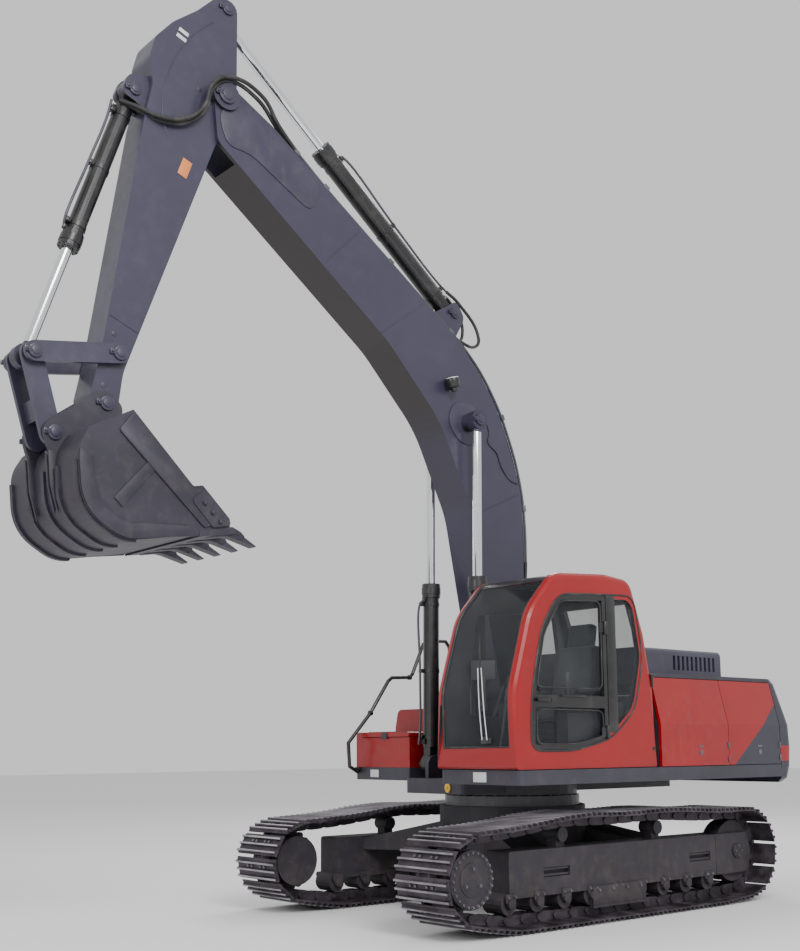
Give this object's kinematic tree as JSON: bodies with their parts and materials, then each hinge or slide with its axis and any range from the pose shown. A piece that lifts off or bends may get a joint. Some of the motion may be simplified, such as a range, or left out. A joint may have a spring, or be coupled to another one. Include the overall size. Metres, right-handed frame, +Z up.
{
  "type": "crawler excavator",
  "caption": "Tracked excavator with an enclosed cab, a swinging upper structure, a gooseneck boom, an arm and a bucket moved by hydraulic cylinders.",
  "frame": {"origin": "bottom centre of the bounding box, on the ground", "axes": "+X towards the boom, +Y to the left, +Z up"},
  "size_m": [7.8108, 2.8, 7.5344],
  "materials": {
    "red_paint": "semi-gloss",
    "boom_paint": "satin",
    "deck_paint": "satin",
    "hood_paint": "satin",
    "counterweight_paint": "satin",
    "track_steel": "worn",
    "undercarriage_paint": "worn",
    "black_paint": "satin",
    "chrome": "polished",
    "bucket_steel": "worn",
    "glass": "clear",
    "cab_trim": "matte",
    "seat_cloth": "matte",
    "engine_iron": "matte"
  },
  "bodies": {
    "undercarriage": {"carbody": "undercarriage_paint", "swing_bearing": "bucket_steel", "track_frame_left": "undercarriage_paint", "track_frame_right": "undercarriage_paint", "track_left": "track_steel", "track_right": "track_steel", "sprocket_left": "undercarriage_paint", "sprocket_right": "undercarriage_paint", "idler_left": "undercarriage_paint", "idler_right": "undercarriage_paint"},
    "upper": {"body_housing": "deck_paint", "cab_shell": "red_paint", "control_consoles": "cab_trim", "counterweight": "counterweight_paint", "engine_block": "engine_iron", "fuel_tank": "red_paint", "handrail": "black_paint", "hydraulic_tank": "red_paint", "quarter_window": "glass", "rear_window": "glass", "right_window": "glass", "seat": "seat_cloth", "tool_box": "red_paint", "turntable_frame": "deck_paint", "windshield": "glass"},
    "boom": {"boom": "boom_paint"},
    "boom_cylinder_barrels": {"boom_cylinder_barrel_left": "black_paint", "boom_cylinder_barrel_right": "black_paint"},
    "boom_cylinder_rods": {"boom_cylinder_rod_left": "chrome", "boom_cylinder_rod_right": "chrome"},
    "arm": {"arm": "boom_paint"},
    "arm_cylinder_barrel": {"arm_cylinder_barrel": "black_paint"},
    "arm_cylinder_rod": {"arm_cylinder_rod": "chrome"},
    "bucket": {"bucket": "bucket_steel"},
    "rocker_links": {"rocker_link_left": "boom_paint", "rocker_link_right": "boom_paint"},
    "h_link": {"h_link": "boom_paint"},
    "bucket_cylinder_barrel": {"bucket_cylinder_barrel": "black_paint"},
    "bucket_cylinder_rod": {"bucket_cylinder_rod": "chrome"},
    "cab_door": {"cab_door": "black_paint", "cab_door_glass": "glass"},
    "engine_hood": {"engine_hood": "hood_paint"},
    "left_front_side_door": {"left_front_side_door": "red_paint"},
    "left_rear_side_door": {"left_rear_side_door": "red_paint"},
    "right_side_door": {"right_side_door": "red_paint"},
    "tool_box_lid": {"tool_box_lid": "red_paint"}
  },
  "joints": [
    {"name": "swing", "type": "hinge", "parent": "undercarriage", "child": "upper", "pos_m": [-1.02037, 0, 0.99], "axis": [0, 0, 1], "continuous": true},
    {"name": "boom_lift", "type": "hinge", "parent": "upper", "child": "boom", "pos_m": [-0.87037, 0, 1.95], "axis": [0, -1, 0], "range_deg": [-88, 4]},
    {"name": "boom_cylinder_foot", "type": "hinge", "parent": "upper", "child": "boom_cylinder_barrels", "pos_m": [-0.30037, 0, 1.275], "axis": [0, -1, 0], "range_deg": [-78.93, 4.07]},
    {"name": "boom_cylinder_stroke", "type": "slide", "parent": "boom_cylinder_barrels", "child": "boom_cylinder_rods", "axis": [-0.0145, 0, 0.9999], "range_m": [-1.18338, 0.0557]},
    {"name": "arm_swing", "type": "hinge", "parent": "boom", "child": "arm", "pos_m": [2.29466, 0, 6.64235], "axis": [0, 1, 0], "range_deg": [-88, 22]},
    {"name": "arm_cylinder_foot", "type": "hinge", "parent": "boom", "child": "arm_cylinder_barrel", "pos_m": [-0.3012, 0, 5.44408], "axis": [0, -1, 0], "range_deg": [-0.71, 1.35]},
    {"name": "arm_cylinder_stroke", "type": "slide", "parent": "arm_cylinder_barrel", "child": "arm_cylinder_rod", "axis": [0.7878, 0, 0.616], "range_m": [-1.13875, 0.28619]},
    {"name": "bucket_curl", "type": "hinge", "parent": "arm", "child": "bucket", "pos_m": [3.25793, 0, 3.90701], "axis": [0, 1, 0], "range_deg": [-95, 50]},
    {"name": "rocker_swing", "type": "hinge", "parent": "arm", "child": "rocker_links", "pos_m": [3.1643, 0, 4.30235], "axis": [0, -1, 0], "range_deg": [-38.26, 72.24]},
    {"name": "h_link_swing", "type": "hinge", "parent": "bucket", "child": "h_link", "pos_m": [3.64771, 0, 3.62738], "axis": [0, -1, 0], "range_deg": [-68.6, 36.34]},
    {"name": "bucket_cylinder_foot", "type": "hinge", "parent": "arm", "child": "bucket_cylinder_barrel", "pos_m": [3.04262, 0, 6.47531], "axis": [0, -1, 0], "range_deg": [-1.16, 1.75]},
    {"name": "bucket_cylinder_stroke", "type": "slide", "parent": "bucket_cylinder_barrel", "child": "bucket_cylinder_rod", "axis": [0.3194, 0, -0.9476], "range_m": [-0.76888, 0.40562]},
    {"name": "cab_door_hinge", "type": "hinge", "parent": "upper", "child": "cab_door", "pos_m": [-0.84437, 1.344, 0], "axis": [0, 0, 1], "range_deg": [0, 150]},
    {"name": "engine_hood_hinge", "type": "hinge", "parent": "upper", "child": "engine_hood", "pos_m": [-1.66037, 0, 2.071], "axis": [0, 1, 0], "range_deg": [0, 65]},
    {"name": "left_front_side_door_hinge", "type": "hinge", "parent": "upper", "child": "left_front_side_door", "pos_m": [-2.51737, 1.352, 0], "axis": [0, 0, 1], "range_deg": [0, 85]},
    {"name": "left_rear_side_door_hinge", "type": "hinge", "parent": "upper", "child": "left_rear_side_door", "pos_m": [-3.36237, 1.352, 0], "axis": [0, 0, 1], "range_deg": [0, 85]},
    {"name": "right_side_door_hinge", "type": "hinge", "parent": "upper", "child": "right_side_door", "pos_m": [-3.36237, -1.352, 0], "axis": [0, 0, -1], "range_deg": [0, 85]},
    {"name": "tool_box_lid_hinge", "type": "hinge", "parent": "upper", "child": "tool_box_lid", "pos_m": [-0.73037, 0, 1.547], "axis": [0, -1, 0], "range_deg": [0, 80]}
  ],
  "couplings": [
    {"joint": "boom_cylinder_foot", "follows": "boom_lift", "ratio": 0.89128},
    {"joint": "boom_cylinder_stroke", "follows": "boom_lift", "m_per_rad": 0.76919},
    {"joint": "arm_cylinder_foot", "follows": "arm_swing", "ratio": -0.009701},
    {"joint": "arm_cylinder_stroke", "follows": "arm_swing", "m_per_rad": 0.74013},
    {"joint": "rocker_swing", "follows": "bucket_curl", "ratio": -0.75517},
    {"joint": "h_link_swing", "follows": "bucket_curl", "ratio": 0.71684},
    {"joint": "bucket_cylinder_foot", "follows": "bucket_curl", "ratio": -0.01317},
    {"joint": "bucket_cylinder_stroke", "follows": "bucket_curl", "m_per_rad": 0.46252}
  ]
}
